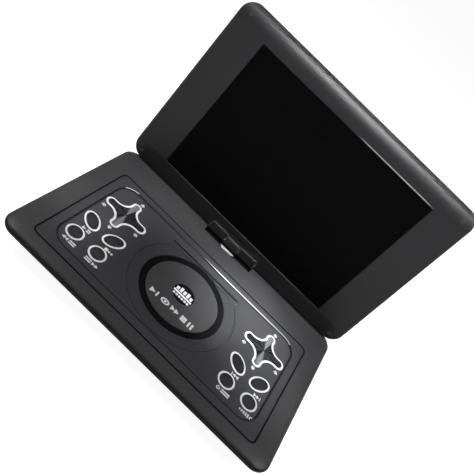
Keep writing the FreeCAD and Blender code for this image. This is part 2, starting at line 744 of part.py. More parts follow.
def main_board():
    board = box(-100, 100, -56, -20, 8.0, 9.6)
    chip_a = box(-30, -10, -46, -28, 9.5, 11.4)
    chip_b = box(20, 32, -44, -32, 9.5, 11.0)
    coil = post(60, -38, 9.5, 14.0, 5.0)
    return join([board, chip_a, chip_b, coil])


def battery_pack():
    """Flat cells in a soft pack, with the join between the cells shown."""
    pack = rounded_slab(-150, -82, -200, -104, 4.0, 5.2, 15.5)
    groove = box(-117, -115, -205, -95, 14.9, 17)
    return pack.cut(groove)


def speakers():
    units = []
    for side in (-1, 1):
        x = side * 118
        frame = rounded_slab(x - 14, x + 14, -80, -52, 5.0, 5.0, 7.0)
        cone = turned(((5, 7.0), (12.5, 7.0), (8, 12.5), (5, 12.5)), x, -66)
        magnet = post(x, -66, 12.0, 17.0, 9.0)
        units.append(join([frame, cone, magnet]))
    return Part.makeCompound(units)


def round_jack(y):
    """3.5 mm socket: collar in the wall and a block behind it."""
    block = box(BAY_X - 17, BAY_X - WALL - 0.2, y - 4.5, y + 4.5, SOCKET_Z - 4.5, SOCKET_Z + 4.0)
    collar = Part.makeCylinder(3.0, WALL + 0.6, vec(BAY_X - WALL - 0.3, y, SOCKET_Z), vec(1, 0, 0))
    bore = Part.makeCylinder(1.8, 14.0, vec(BAY_X + 0.3 - 14.0, y, SOCKET_Z), vec(1, 0, 0))
    return join([block, collar]).cut(bore)


def dc_jack():
    """Power socket: open mouth, then a narrower bore with the centre pin."""
    block = box(BAY_X - 15, BAY_X - WALL - 0.2, DC_Y - 5, DC_Y + 5, SOCKET_Z - 5, SOCKET_Z + 5)
    collar = Part.makeCylinder(4.0, WALL + 0.6, vec(BAY_X - WALL - 0.3, DC_Y, SOCKET_Z), vec(1, 0, 0))
    mouth = Part.makeCylinder(2.8, 3.0, vec(BAY_X + 0.3 - 3.0, DC_Y, SOCKET_Z), vec(1, 0, 0))
    deep = Part.makeCylinder(2.6, 9.5, vec(BAY_X + 0.3 - 10.5, DC_Y, SOCKET_Z), vec(1, 0, 0))
    pin = Part.makeCylinder(0.65, 7.2, vec(BAY_X + 0.3 - 11.0, DC_Y, SOCKET_Z), vec(1, 0, 0))
    return join([cut(join([block, collar]), [mouth, deep]), pin])


def usb_port():
    shell = box(BAY_X - 14, BAY_X + 0.3, USB_Y - 6.9, USB_Y + 6.9, SOCKET_Z - 3.2, SOCKET_Z + 3.2)
    hollow = box(BAY_X - 12, BAY_X + 1, USB_Y - 6.3, USB_Y + 6.3, SOCKET_Z - 2.6, SOCKET_Z + 2.6)
    tongue = box(BAY_X - 13, BAY_X - 1, USB_Y - 5.6, USB_Y + 5.6, SOCKET_Z + 0.2, SOCKET_Z + 2.0)
    return join([shell.cut(hollow), tongue])


def card_slot():
    shell = box(BAY_X - 30, BAY_X - 0.5, CARD_Y - 13.0, CARD_Y + 13.0, SOCKET_Z - 1.7, SOCKET_Z + 1.7)
    hollow = box(BAY_X - 28, BAY_X + 1, CARD_Y - 12.1, CARD_Y + 12.1, SOCKET_Z - 1.2, SOCKET_Z + 1.2)
    return shell.cut(hollow)


def volume_wheel():
    """Knurled wheel that shows through a slot in the socket bay."""
    x = BAY_X - 6.6
    wheel = post(x, VOLUME_Y, SOCKET_Z - 1.5, SOCKET_Z + 1.5, 8.6)
    notches = []
    for step in range(36):
        angle = step * 2 * pi / 36
        notches.append(
            post(x + 8.7 * cos(angle), VOLUME_Y + 8.7 * sin(angle), SOCKET_Z - 2, SOCKET_Z + 2, 0.3)
        )
    wheel = cut(wheel, notches)
    return wheel.cut(post(x, VOLUME_Y, SOCKET_Z - 2, SOCKET_Z + 2, 2.0 + RUNNING))


def volume_axle():
    x = BAY_X - 6.6
    axle = post(x, VOLUME_Y, SOCKET_Z - 3.5, SOCKET_Z + 2.5, 2.0)
    body = box(x - 7, x + 4, VOLUME_Y - 6, VOLUME_Y + 6, SOCKET_Z - 5.5, SOCKET_Z - 2.2)
    return join([axle, body])


def power_switch():
    """Slide knob with grip ribs, and the tongue behind the wall."""
    y = SWITCH_Y - 2.0
    knob = box(BAY_X - WALL, BAY_X + 1.6, y - 2.6, y + 2.6, SOCKET_Z - 1.5, SOCKET_Z + 1.5)
    tongue = box(BAY_X - WALL - 1.6, BAY_X - WALL - 0.2, y - 3.4, y + 3.4, SOCKET_Z - 2.6, SOCKET_Z + 2.6)
    neck = box(BAY_X - WALL - 0.4, BAY_X - WALL + 0.2, y - 2.4, y + 2.4, SOCKET_Z - 1.4, SOCKET_Z + 1.4)
    grooves = []
    for offset in (-1.4, 0.0, 1.4):
        grooves.append(box(BAY_X + 1.1, BAY_X + 2, y + offset - 0.25, y + offset + 0.25, 0, 30))
    return cut(join([knob, tongue, neck]), grooves)


def hinge_mark():
    """Bright bar set in the foot of the fixed knuckle."""
    bar = mark_body(2.7)
    rim = [edge for edge in bar.Edges if edge.BoundBox.ZMin > DECK_Z + 0.2]
    return bar.makeChamfer(0.5, rim)


def tilt_shaft():
    return rod_x(-34.5, 34.5, 0, TILT_AXIS_Z, SHAFT_RADIUS)


# ---- hinge block, drawn in the screen's frame ----
def block_half(side):
    """One barrel of the block, beside the fixed knuckle; its end is round so that it clears the notch."""
    outline = (
        (-6.0, -6.0), (-6.0, 3.9), (-4.6, 5.3), (10.8, 5.3), (11.8, 4.3), (11.8, -4.0), (7.8, -8.0), (-4.0, -8.0)
    )
    x0 = KNUCKLE_HALF_WIDTH + 0.4
    half = polygon_x(outline, x0, BLOCK_HALF_WIDTH)
    half = half.common(post(0, SWIVEL_Y, -20, 20, BLOCK_HALF_WIDTH))
    thrust_face = rod_x(KNUCKLE_HALF_WIDTH + THRUST_GAP, x0 + 1, 0, 0, KNUCKLE_RADIUS - 0.1)
    half = join([half, thrust_face])
    half = half.cut(rod_x(0, 35.0, 0, 0, SHAFT_RADIUS + RUNNING))
    if side < 0:
        return mirrored(half)
    return half


def hinge_block():
    """Two barrels under one swivel plate, which is a disc cut flat in front and behind."""
    plate = post(0, SWIVEL_Y, 5.6, 8.6, 16.5)
    plate = plate.common(box(-20, 20, -6.0, 11.8, 5, 9))
    step = box(-16.0, 16.0, -5.0, 11.0, 4.6, 6.4).cut(box(-12.4, 12.4, -20, 20, 0, 9))
    block = join([block_half(1), block_half(-1), step, plate])
    return block.cut(post(0, SWIVEL_Y, 0, 12, POST_RADIUS))


def swivel_post():
    """Steel post the screen turns on, with a clip at its top."""
    stem = post(0, SWIVEL_Y, 5.7, 35.6, POST_RADIUS)
    clip = post(0, SWIVEL_Y, 34.2, 35.2, 3.7)
    return join([stem, clip])


# ---- screen, drawn upright about the tilt axis ----
def screen_body(sections):
    """Solid through outlines at several depths: (y, inset)."""
    wires = []
    for y, inset in sections:
        half = HALF_WIDTH - inset
        radius = max(18.0 - inset * 0.4, 6.0)
        wire = rounded_rect(-half, half, SCREEN_BOTTOM + inset, SCREEN_TOP - inset, radius, 0)
        wire.rotate(vec(0, 0, 0), vec(1, 0, 0), 90)
        wire.translate(vec(0, y, 0))
        wires.append(wire)
    return Part.makeLoft(wires, True, True)


def notch_tools(clear):
    """Gap for the hinge block, round like the block's ends, and the slot its swivel plate turns in."""
    gap = post(0, SWIVEL_Y, -20, NOTCH_TOP - clear, NOTCH_HALF_WIDTH - clear)
    slot = post(0, SWIVEL_Y, 5.0, 9.2 - clear, 17.2 - clear)
    return [gap, slot]


def notch_wall(y0, y1):
    return box(-NOTCH_HALF_WIDTH - 2.2, NOTCH_HALF_WIDTH + 2.2, y0, y1, SCREEN_BOTTOM - 1, 11.6)


def bezel_profile():
    """Side view of the bezel drawn out over its width: flat, then curving back towards the top."""
    front = SCREEN_FRONT
    curve_points = (
        (front, LCD_TOP), (front + 0.3, 213.0), (front + 1.0, 218.5), (front + 2.1, 223.0),
        (front + 3.7, 227.5), (front + 5.6, 231.2), (front + 7.8, SCREEN_TOP),
    )
    curve = Part.BSplineCurve()
    curve.interpolate([vec(0, y, z) for y, z in curve_points])
    corners = (
        (front + 7.8, SCREEN_TOP), (20, SCREEN_TOP), (20, SCREEN_BOTTOM - 1), (front + 3.0, SCREEN_BOTTOM - 1),
        (front, LCD_BOTTOM), (front, LCD_TOP),
    )
    edges = [curve.toShape()]
    for first, second in zip(corners[:-1], corners[1:]):
        edges.append(Part.makeLine(vec(0, *first), vec(0, *second)))
    face = Part.Face(Part.Wire(edges))
    face.translate(vec(-HALF_WIDTH - 1, 0, 0))
    return face.extrude(vec(2 * HALF_WIDTH + 2, 0, 0))


def window_bevel():
    """Sloping edge round the opening for the display."""
    wires = []
    for y, grow in ((SCREEN_FRONT - 0.01, 0.9), (SCREEN_FRONT + 0.8, 0.0)):
        half = LCD_HALF_WIDTH + grow
        low = LCD_BOTTOM - grow
        high = LCD_TOP + grow
        corners = ((-half, low), (half, low), (half, high), (-half, high), (-half, low))
        wires.append(Part.makePolygon([vec(x, y, z) for x, z in corners]))
    return Part.makeLoft(wires, True, True)


def screen_bezel():
    front = SCREEN_FRONT
    body = screen_body((
        (front, 3.4), (front + 0.5, 1.9), (front + 1.2, 0.8), (front + 2.4, 0.2), (front + 3.6, 0.0),
        (SCREEN_SEAM, 0.0),
    ))
    body = body.common(bezel_profile())
    lcd_room = box(-139, 139, -1.9, SCREEN_SEAM + 1, LCD_BOTTOM - 2.6, LCD_TOP + 2.6)
    inner = rounded_slab(
        -HALF_WIDTH + 3, HALF_WIDTH - 3, -SCREEN_TOP + 3, -SCREEN_BOTTOM - 3, 14.0, 2.0, SCREEN_SEAM + 1
    )
    inner.rotate(vec(0, 0, 0), vec(1, 0, 0), -90)
    window = box(-LCD_HALF_WIDTH, LCD_HALF_WIDTH, -20, 0, LCD_BOTTOM, LCD_TOP)
    room = join([lcd_room, inner]).cut(notch_wall(-30, 30))
    tools = [room, window, window_bevel(), post(0, SWIVEL_Y, 5, 20, POST_RADIUS + 0.6)]
    tools += notch_tools(0.0)
    for x, z in bumper_places():
        tools.append(rod_y(x, -20, bumper_seat_y(z), z, 2.2))
    return cut(body, tools)


def screen_back_cover():
    sections = (
        (SCREEN_SEAM, 0.0), (5.0, 0.6), (5.8, 2.4), (6.8, 6.0), (8.4, 12.0), (10.6, 20.0), (12.4, 27.0),
        (13.6, 33.0), (SCREEN_REAR, 40.0),
    )
    outer = screen_body(sections)
    inner = screen_body([(y - 2.0, inset + 2.2) for y, inset in sections[::2]])
    room = inner.cut(notch_wall(-30, 40))
    tools = [room, post(0, SWIVEL_Y, 5, 20, POST_RADIUS + 0.6)] + notch_tools(0.0)
    for x, z in screen_screw_places():
        tools.append(rod_y(x, screen_screw_y(), 30, z, 3.0))
    return cut(outer, tools)


def bumper_places():
    return ((-168.0, 3.5), (168.0, 3.5), (-168.0, 219.7), (168.0, 219.7))


def bumper_seat_y(z):
    return SCREEN_FRONT + 2.9


def screen_bumpers():
    """Rubber plugs near the bezel's corners that meet the base when it is closed."""
    plugs = []
    for x, z in bumper_places():
        plugs.append(rod_y(x, SCREEN_FRONT + 0.9, bumper_seat_y(z), z, 2.1))
    return Part.makeCompound(plugs)


def screen_screw_places():
    return ((-120.0, 50.0), (120.0, 50.0), (-120.0, 180.0), (120.0, 180.0))


def screen_screw_y():
    return SCREEN_REAR - 1.3


def screen_screws():
    screws = []
    for x, z in screen_screw_places():
        y = screen_screw_y()
        head = rod_y(x, y, y + 1.1, z, 2.7)
        slot_a = box(x - 1.6, x + 1.6, y + 0.5, y + 2, z - 0.3, z + 0.3)
        slot_b = box(x - 0.3, x + 0.3, y + 0.5, y + 2, z - 1.6, z + 1.6)
        screws.append(cut(head, [slot_a, slot_b]))
    return Part.makeCompound(screws)


def lcd_panel():
    return box(-137, 137, -1.9, -0.7, LCD_BOTTOM - 2.0, LCD_TOP + 2.0)


def lcd_backlight():
    body = box(-138.5, 138.5, -0.7, 1.4, LCD_BOTTOM - 2.3, LCD_TOP + 2.3)
    ribs = [box(-100 + i * 50 - 3, -100 + i * 50 + 3, 1.3, 2.2, 50, 190) for i in range(5)]
    return join([body] + ribs)


def driver_board():
    board = box(-60, 60, 4.6, 6.0, 60, 110)
    chip = box(-10, 10, 5.9, 7.4, 78, 96)
    socket = box(30, 50, 5.9, 9.0, 64, 70)
    return join([board, chip, socket])


def swivel_bracket():
    """Steel bearing for the swivel post, with ears that bolt to the bezel."""
    barrel = box(-8, 8, 2.0, SWIVEL_Y + 3.7, 19.0, 34.0)
    ears = box(-45, 45, 2.0, 3.7, 11.8, 30.0)
    bracket = join([barrel, ears])
    tools = [post(0, SWIVEL_Y, 10, 36, POST_RADIUS + RUNNING)]
    for x in (-36, -24, 24, 36):
        tools.append(rod_y(x, 0, 10, 22, 1.6))
    return cut(bracket, tools)


# ---- placing and writing ----
def place_base(shape):
    shape.translate(vec(0, TILT_AXIS_Y, 0))
    return shape


def place_screen(shape):
    shape.rotate(vec(0, 0, 0), vec(1, 0, 0), -LEAN_DEG)
    shape.translate(vec(0, TILT_AXIS_Y, TILT_AXIS_Z))
    return shape


def write(name, shape):
    if not shape.isValid():
        print("not valid:", name)
    shape.exportStep(os.path.join("parts", name + ".step"))


def main():
    os.makedirs("parts", exist_ok=True)
    base = {
        "base_top_shell": base_top_shell(),
        "base_bottom_case": base_bottom_case(),
        "rubber_feet": rubber_feet(),
        "case_screws": case_screws(),
        "control_panel": control_panel(),
        "panel_trim": panel_trim(),
        "pad_rings": pad_rings(),
        "key_rings": key_rings(),
        "left_star_pad": star_pad(-1),
        "right_star_pad": star_pad(1),
        "left_pad_pivot": pad_pivot(-1),
        "right_pad_pivot": pad_pivot(1),
        "disc_tray": disc_tray(),
        "spindle_motor": spindle_motor(),
        "turntable": turntable(),
        "guide_rods": guide_rods(),
        "lead_screw": lead_screw(),
        "sled_motor": sled_motor(),
        "optical_pickup": optical_pickup(),
        "pickup_lens": pickup_lens(),
        "disc_door": disc_door(),
        "door_dome": door_dome(),
        "door_emblem": door_emblem(),
        "door_pins": door_pins(),
        "keypad_sheets": keypad_sheets(),
        "key_boards": key_boards(),
        "main_board": main_board(),
        "battery_pack": battery_pack(),
        "speakers": speakers(),
        "headphone_jack": round_jack(HEADPHONE_Y),
        "av_jack": round_jack(AV_Y),
        "dc_jack": dc_jack(),
        "usb_port": usb_port(),
        "card_slot": card_slot(),
        "volume_axle": volume_axle(),
        "volume_wheel": volume_wheel(),
        "power_switch": power_switch(),
        "hinge_mark": hinge_mark(),
        "tilt_shaft": tilt_shaft(),
    }
    for place in key_places():
        base[place[0]] = key(place)
    screen = {
        "hinge_block": hinge_block(),
        "swivel_post": swivel_post(),
        "swivel_bracket": swivel_bracket(),
        "screen_bezel": screen_bezel(),
        "screen_back_cover": screen_back_cover(),
        "screen_bumpers": screen_bumpers(),
        "screen_screws": screen_screws(),
        "lcd_panel": lcd_panel(),
        "lcd_backlight": lcd_backlight(),
        "driver_board": driver_board(),
    }
    for name, shape in base.items():
        write(name, place_base(shape))
    for name, shape in screen.items():
        write(name, place_screen(shape))


main()
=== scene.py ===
import json
from math import cos, pi, radians, sin, sqrt

import bpy
from mathutils import Matrix, Vector


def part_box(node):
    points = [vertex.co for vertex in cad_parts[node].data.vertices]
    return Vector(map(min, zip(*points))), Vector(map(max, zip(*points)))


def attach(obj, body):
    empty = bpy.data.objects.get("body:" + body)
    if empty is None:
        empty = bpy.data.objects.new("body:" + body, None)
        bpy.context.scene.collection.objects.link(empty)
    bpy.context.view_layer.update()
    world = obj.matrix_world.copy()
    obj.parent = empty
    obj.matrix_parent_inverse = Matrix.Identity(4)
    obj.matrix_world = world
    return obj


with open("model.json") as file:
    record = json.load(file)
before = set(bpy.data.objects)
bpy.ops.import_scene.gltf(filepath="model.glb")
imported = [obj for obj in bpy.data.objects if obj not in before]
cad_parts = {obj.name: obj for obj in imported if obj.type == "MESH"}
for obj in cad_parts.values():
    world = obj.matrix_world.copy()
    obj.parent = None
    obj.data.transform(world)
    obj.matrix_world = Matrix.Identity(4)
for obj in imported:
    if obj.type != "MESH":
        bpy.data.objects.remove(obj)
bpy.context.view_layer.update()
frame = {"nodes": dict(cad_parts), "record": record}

# Looks of a portable disc player.  Lengths in the tables below are millimetres, scene units are metres.
MM = 0.001
nodes = frame["nodes"]

# ---- places read from the CAD frame ----
dome_low, dome_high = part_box("door_dome")
DISC_X = (dome_low.x + dome_high.x) / 2 / MM
DISC_Y = (dome_low.y + dome_high.y) / 2 / MM
DOME_RADIUS = (dome_high.x - dome_low.x) / 2 / MM
DOME_RISE = 1.7                          # how far the dome's middle stands above its rim
DOME_TOP = 31.2                          # height the dome would reach if the emblem were not let into it
EMBLEM_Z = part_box("door_emblem")[1].z / MM
RING_STAND = 0.35                        # the key rings stand this much above the sunk plate
PLATE_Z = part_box("key_rings")[1].z / MM - RING_STAND
USUAL_LEVEL = 0.5                        # specular level of ordinary plastic
SHADE = (0.002, 0.002, 0.002)            # colour of the painted shade in joints, grooves and crevices
GROOVE_OUTER = 55.2                      # radius of the round groove the dome stands in
PANEL_CORNER = 6.5
SEAM_OUT = 0.4                           # the joint runs this far outside the panel's edge
PLATE_CORNER = 21.2
PLATE_IN_SIDE = 11.1                     # the sunk plate's edge, measured in from the panel's outline
PLATE_IN_FRONT = 12.3
PLATE_IN_BACK = 10.4
GLINT_MIDDLE = 0.55                        # painted highlight along the glass's top edge, as shares of its half width
GLINT_FULL = 0.3
GLINT_END = 0.45
GLINT_ABOVE = 0.2                          # and its height and half widths, in millimetres
GLINT_THIN = 0.3
GLINT_THICK = 0.6
GLINT_COLOR = (0.3, 0.3, 0.3)
WALL_SHADE_LOW = 26.0                     # painted shade darkens the deck's outer walls between these heights
WALL_SHADE_HIGH = 29.5
TRIM_GLINT_PEAK_X = 5.0                      # painted highlight: the trim is brightest here and fades towards the side
TRIM_GLINT_END_X = 110.0
HIGHLIGHT_FAN_TURN = radians(4)                    # the pads' painted highlight fans run this far off the front-back line


# ---- camera, floor and sky ----
CAMERA_PLACE = (-0.0015, -0.53275, 0.48445)
CAMERA_DOWN = radians(35.0471)           # below level, seen from in front
CAMERA_TURN = radians(0.1188)
CAMERA_ROLL = radians(44.3937)           # about the line of sight
SENSOR_WIDTH = 36.0
LENS_LENGTH = 45.375
FLOOR_REACH = 12.0
FLOOR_GRAY = 0.4
FLOOR_GLOW = 0.92
HORIZON_GLOW = 1.0                       # as pale as the floor, so the floor has no visible end
SKY_GLOW = 0.06
SKY_START = 0.24                         # upward share of a direction where the sky is at its dimmest
BEAM_HEIGHT = 1.0


# ---- material building ----
class Look:
    """One procedural material: a Principled shader with textures laid out in the object's own metres."""

    def __init__(self, name, color, roughness):
        self.material = bpy.data.materials.new(name)
        self.material.use_nodes = True
        self.tree = self.material.node_tree
        self.shader = self.tree.nodes["Principled BSDF"]
        self.place = self.node("ShaderNodeTexCoord").outputs["Object"]
        self.set("Base Color", tuple(color) + (1.0,))
        self.set("Roughness", roughness)
        self.normal = None

    def node(self, kind, **settings):
        made = self.tree.nodes.new(kind)
        for key, value in settings.items():
            setattr(made, key, value)
        return made

    def link(self, source, target):
        self.tree.links.new(source, target)

    def set(self, socket, value):
        self.shader.inputs[socket].default_value = value
        return self

    def stretched(self, scale):
        """Object coordinates multiplied by scale, for brushed or banded textures."""
        mapping = self.node("ShaderNodeMapping")
        self.link(self.place, mapping.inputs["Vector"])
        mapping.inputs["Scale"].default_value = scale
        return mapping.outputs["Vector"]

    def noise(self, size_mm, detail=2.0, stretch=None):
        """Noise whose features are about size_mm across."""
        made = self.node("ShaderNodeTexNoise")
        self.link(self.stretched(stretch) if stretch else self.place, made.inputs["Vector"])
        made.inputs["Scale"].default_value = 1.0 / (size_mm * MM)
        made.inputs["Detail"].default_value = detail
        return made.outputs["Fac"]

    def cells(self, size_mm):
        made = self.node("ShaderNodeTexVoronoi", feature="SMOOTH_F1")
        self.link(self.place, made.inputs["Vector"])
        made.inputs["Scale"].default_value = 1.0 / (size_mm * MM)
        made.inputs["Smoothness"].default_value = 0.4
        return made.outputs["Distance"]

    def spread(self, fac, low, high):
        """Maps a texture's middle range to low..high."""
        made = self.node("ShaderNodeMapRange")
        self.link(fac, made.inputs["Value"])
        made.inputs["From Min"].default_value = 0.3
        made.inputs["From Max"].default_value = 0.7
        made.inputs["To Min"].default_value = low
        made.inputs["To Max"].default_value = high
        return made.outputs["Result"]

    def vary_color(self, fac, dark, light):
        ramp = self.node("ShaderNodeValToRGB")
        self.link(fac, ramp.inputs["Fac"])
        ramp.color_ramp.elements[0].position = 0.3
        ramp.color_ramp.elements[0].color = tuple(dark) + (1.0,)
        ramp.color_ramp.elements[1].position = 0.7
        ramp.color_ramp.elements[1].color = tuple(light) + (1.0,)
        self.link(ramp.outputs["Color"], self.shader.inputs["Base Color"])
        return self

    def vary_roughness(self, fac, low, high):
        self.link(self.spread(fac, low, high), self.shader.inputs["Roughness"])
        return self

    def round_edges(self, radius_mm):
        made = self.node("ShaderNodeBevel", samples=6)
        made.inputs["Radius"].default_value = radius_mm * MM
        self.normal = made.outputs["Normal"]
        self.link(self.normal, self.shader.inputs["Normal"])
        return self

    def bump(self, fac, depth_mm, strength=1.0):
        made = self.node("ShaderNodeBump")
        made.inputs["Strength"].default_value = strength
        made.inputs["Distance"].default_value = depth_mm * MM
        self.link(fac, made.inputs["Height"])
        if self.normal is not None:
            self.link(self.normal, made.inputs["Normal"])
        self.normal = made.outputs["Normal"]
        self.link(self.normal, self.shader.inputs["Normal"])
        return self

    def color_source(self):
        """The socket that drives the base colour, made from the plain colour when nothing is linked yet."""
        socket = self.shader.inputs["Base Color"]
        if not socket.links:
            plain = self.node("ShaderNodeRGB")
            plain.outputs[0].default_value = socket.default_value
            self.link(plain.outputs[0], socket)
        return socket.links[0].from_socket

    def mix_color(self, fac, color):
        """Base colour goes from color, where fac is 0, to what it was, where fac is 1."""
        mix = self.node("ShaderNodeMix", data_type="RGBA")
        self.link(fac, mix.inputs["Factor"])
        mix.inputs["A"].default_value = tuple(color) + (1.0,)
        self.link(self.color_source(), mix.inputs["B"])
        self.link(mix.outputs["Result"], self.shader.inputs["Base Color"])
        return self

    def math(self, operation, first, second=None):
        """Math node; each input is a socket or a number."""
        made = self.node("ShaderNodeMath", operation=operation)
        for index, value in enumerate((first, second)):
            if isinstance(value, (int, float)):
                made.inputs[index].default_value = value
            elif value is not None:
                self.link(value, made.inputs[index])
        return made.outputs[0]

    def step(self, value, low, high, least=0.0):
        """Rises smoothly from least to 1 while value goes from low to high."""
        made = self.node("ShaderNodeMapRange", interpolation_type="SMOOTHSTEP")
        self.link(value, made.inputs["Value"])
        made.inputs["From Min"].default_value = low
        made.inputs["From Max"].default_value = high
        made.inputs["To Min"].default_value = least
        return made.outputs["Result"]

    def dim(self, fac):
        """Painted shade: colour falls away where fac is low, and so does the shine of a surface with the
        usual level.
        """
        self.mix_color(fac, SHADE)
        level = self.shader.inputs["Specular IOR Level"]
        if level.default_value == USUAL_LEVEL:
            before = level.links[0].from_socket if level.links else USUAL_LEVEL
            self.link(self.math("MULTIPLY", fac, before), level)
        return self

    def painted_crevice_shade(self, reach_mm):
        """Painted shade: crevices narrower than the reach stay black."""
        hidden = self.node("ShaderNodeAmbientOcclusion", samples=8)
        hidden.inputs["Distance"].default_value = reach_mm * MM
        return self.dim(self.step(hidden.outputs["AO"], 0.35, 0.85))

    def axis(self, name):
        """One coordinate of the shaded point, in metres; name is X, Y or Z."""
        made = self.node("ShaderNodeSeparateXYZ")
        self.link(self.place, made.inputs["Vector"])
        return made.outputs[name]

    def distance_from(self, value, centre):
        """How far a socket's value is from a plain number."""
        return self.math("ABSOLUTE", self.math("SUBTRACT", value, centre))

    def from_centre(self, x_mm, y_mm):
        """Flat offset of the shaded point from a centre, in metres."""
        away = self.node("ShaderNodeVectorMath", operation="SUBTRACT")
        self.link(self.place, away.inputs[0])
        away.inputs[1].default_value = (x_mm * MM, y_mm * MM, 0.0)
        flat = self.node("ShaderNodeVectorMath", operation="MULTIPLY")
        self.link(away.outputs["Vector"], flat.inputs[0])
        flat.inputs[1].default_value = (1.0, 1.0, 0.0)
        return flat.outputs["Vector"]


def scaled(color, factor):
    return tuple(channel * factor for channel in color)


def moulded(name, color, roughness, grain_mm, depth_mm, edge_mm=0.35, level=0.5, crevice_shade_mm=1.6):
    """Moulded plastic: spark-eroded grain, faint flow clouds in colour and gloss, painted shade in
    crevices, eased edges.
    """
    look = Look(name, color, roughness)
    clouds = look.noise(34.0, 4.0)
    look.vary_color(clouds, scaled(color, 0.93), scaled(color, 1.07))
    look.vary_roughness(look.noise(9.0, 5.0), roughness - 0.03, roughness + 0.03)
    look.set("Specular IOR Level", level)
    # painted shade in crevices, from ambient occlusion
    look.painted_crevice_shade(crevice_shade_mm)
    if edge_mm > 0:
        look.round_edges(edge_mm)
    look.bump(look.noise(grain_mm, 3.0), depth_mm)
    return look


def polished(name, color, roughness, level=0.5):
    """Glossy plastic with faint wiping marks in the gloss."""
    look = Look(name, color, roughness)
    look.vary_color(look.noise(20.0, 3.0), scaled(color, 0.95), scaled(color, 1.05))
    look.vary_roughness(look.noise(8.0, 3.0), roughness * 0.85, roughness * 1.15)
    look.set("Specular IOR Level", level)
    look.round_edges(0.3)
    look.bump(look.noise(0.4, 2.0), 0.002)
    return look


def case_plastic():
    return moulded("case_plastic", (0.034, 0.034, 0.036), 0.42, 0.9, 0.03)


def lower_case():
    return moulded("lower_case", (0.018, 0.018, 0.019), 0.6, 0.9, 0.03, level=0.15)


def panel_plastic():
    return moulded("panel_plastic", (0.034, 0.034, 0.037), 0.36, 0.4, 0.010)


def bezel_plastic():
    """Screen frame, with a painted highlight along part of the glass's top edge."""
    color = (0.01, 0.01, 0.011)
    look = moulded("bezel_plastic", color, 0.36, 0.5, 0.003, edge_mm=0, level=0.2, crevice_shade_mm=5.0)
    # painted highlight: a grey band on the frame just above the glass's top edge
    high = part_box("lcd_panel")[1]
    run = look.distance_from(look.axis("X"), high.x * GLINT_MIDDLE)
    beside = look.step(run, high.x * GLINT_FULL, high.x * GLINT_END)
    height = look.distance_from(look.axis("Z"), high.z + GLINT_ABOVE * MM)
    above = look.step(height, GLINT_THIN * MM, GLINT_THICK * MM)
    return look.mix_color(look.math("MAXIMUM", beside, above), GLINT_COLOR)


def hinge_plastic():
    color = (0.012, 0.012, 0.013)
    return moulded("hinge_plastic", color, 0.45, 0.5, 0.014, edge_mm=0.12, level=0.2, crevice_shade_mm=5.0)


def dome_plastic():
    look = Look("dome_plastic", (0.045, 0.045, 0.047), 0.3)
    look.vary_color(look.noise(30.0, 2.0), (0.042, 0.042, 0.044), (0.048, 0.048, 0.05))
    look.vary_roughness(look.noise(1.5, 2.0), 0.29, 0.31)
    return look.bump(look.noise(0.5, 2.0), 0.001)


def emblem_black():
    return polished("emblem_black", (0.006, 0.006, 0.006), 0.2)


def mark_silver():
    look = Look("mark_silver", (0.5, 0.5, 0.51), 0.35)
    look.set("Metallic", 0.5)
    look.vary_roughness(look.noise(0.5, 3.0, (0.1, 1.0, 1.0)), 0.34, 0.46)
    look.round_edges(0.3)
    return look.bump(look.noise(0.4, 2.0, (0.05, 1.0, 1.0)), 0.003)


def painted_groove_shade(look):
    """Painted shade in the round groove the dome stands in and on faces that look down."""
    length = look.node("ShaderNodeVectorMath", operation="LENGTH")
    look.link(look.from_centre(DISC_X, DISC_Y), length.inputs[0])
    outside = look.step(length.outputs["Value"], (GROOVE_OUTER - 0.4) * MM, (GROOVE_OUTER + 0.2) * MM, 0.1)
    facing = look.node("ShaderNodeSeparateXYZ")
    look.link(look.node("ShaderNodeNewGeometry").outputs["True Normal"], facing.inputs["Vector"])
    underside = look.step(facing.outputs["Z"], -0.1, -0.3)
    return look.dim(look.math("MAXIMUM", outside, underside))


def rounded_shadow_line(look, half_width, front, back, corner, near, far, least):
    """Painted shadow along a line that runs round a rectangle with round corners; near and far are its half
    widths.
    """
    radius = corner * MM
    middle = (front + back) / 2 * MM
    half_depth = (back - front) / 2 * MM
    across = look.math("SUBTRACT", look.distance_from(look.axis("X"), 0.0), half_width * MM - radius)
    along = look.math("SUBTRACT", look.distance_from(look.axis("Y"), middle), half_depth - radius)
    across = look.math("MAXIMUM", across, 0.0)
    along = look.math("MAXIMUM", along, 0.0)
    square = look.math("ADD", look.math("MULTIPLY", across, across), look.math("MULTIPLY", along, along))
    off_line = look.math("ABSOLUTE", look.math("SUBTRACT", look.math("SQRT", square), radius))
    return look.dim(look.step(off_line, near * MM, far * MM, least))


def panel_seam_shadow(look):
    """Painted shadow in the joint round the control panel."""
    low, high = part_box("control_panel")
    side = high.x / MM + SEAM_OUT
    front = low.y / MM - SEAM_OUT
    back = high.y / MM + SEAM_OUT
    return rounded_shadow_line(look, side, front, back, PANEL_CORNER, 0.6, 1.5, 0.15)


def deck_plastic():
    """Top shell: the grained deck, painted shadow in the joint round the panel, and painted shade that
    dulls the walls below the rim.
    """
    look = moulded("deck_plastic", (0.034, 0.034, 0.036), 0.42, 0.9, 0.03, crevice_shade_mm=6.0)
    panel_seam_shadow(look)
    # painted shade on the walls below the rim
    return look.dim(look.step(look.axis("Z"), WALL_SHADE_LOW * MM, WALL_SHADE_HIGH * MM, 0.2))


def control_plastic():
    look = panel_plastic()
    look.material.name = "control_plastic"
    panel_seam_shadow(look)
    # painted shadow along the sunk plate's recess edge
    low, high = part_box("control_panel")
    front = low.y / MM + PLATE_IN_FRONT
    back = high.y / MM - PLATE_IN_BACK
    return rounded_shadow_line(look, high.x / MM - PLATE_IN_SIDE, front, back, PLATE_CORNER, 0.5, 1.8, 0.25)


